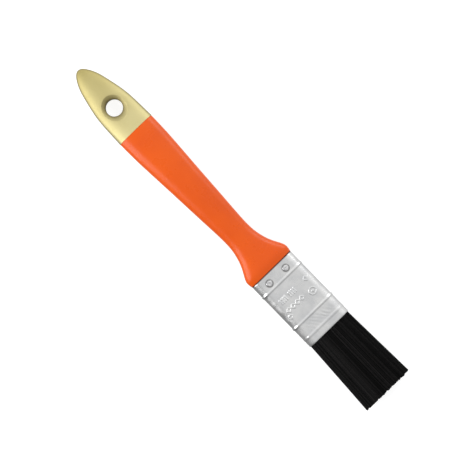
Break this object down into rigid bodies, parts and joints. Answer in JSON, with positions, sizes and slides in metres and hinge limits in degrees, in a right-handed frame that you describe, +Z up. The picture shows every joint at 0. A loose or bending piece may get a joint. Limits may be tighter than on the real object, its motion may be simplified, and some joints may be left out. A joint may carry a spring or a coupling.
{
  "type": "flat paint brush",
  "caption": "Flat paint brush lying on its face: lacquered wooden handle with a dipped tip and hang hole, beaded steel ferrule and a springy black tuft for brushing on paint.",
  "frame": {"origin": "under the middle of the brush, on the surface that it lies on, flat on its broad back face", "axes": "+X along the brush from the handle's tip to the bristle tips, +Y across its width, +Z up through its thickness, out of the front face"},
  "size_m": [0.2114, 0.0278, 0.012],
  "materials": {
    "orange_lacquer": "gloss",
    "gold_dip": "satin",
    "bare_beech": "matte",
    "tinned_steel": "satin",
    "nail_steel": "satin",
    "black_filament": "satin",
    "set_resin": "gloss",
    "spacer_wood": "matte"
  },
  "bodies": {
    "brush": {"handle_core": "bare_beech", "orange_lacquer": "orange_lacquer", "gold_dip": "gold_dip", "ferrule": "tinned_steel", "front_nail_left": "nail_steel", "front_nail_right": "nail_steel", "back_nail_left": "nail_steel", "back_nail_right": "nail_steel", "resin_set": "set_resin", "spacer": "spacer_wood", "front_roots": "black_filament", "back_roots": "black_filament"},
    "tuft": {"front_tuft": "black_filament", "back_tuft": "black_filament"}
  },
  "joints": [
    {"name": "bristle_flex", "type": "hinge", "parent": "brush", "child": "tuft", "pos_m": [0.07105, 0, 0.006], "axis": [0, -1, 0], "range_deg": [0, 25], "stiffness_Nm_per_rad": 0.1}
  ]
}
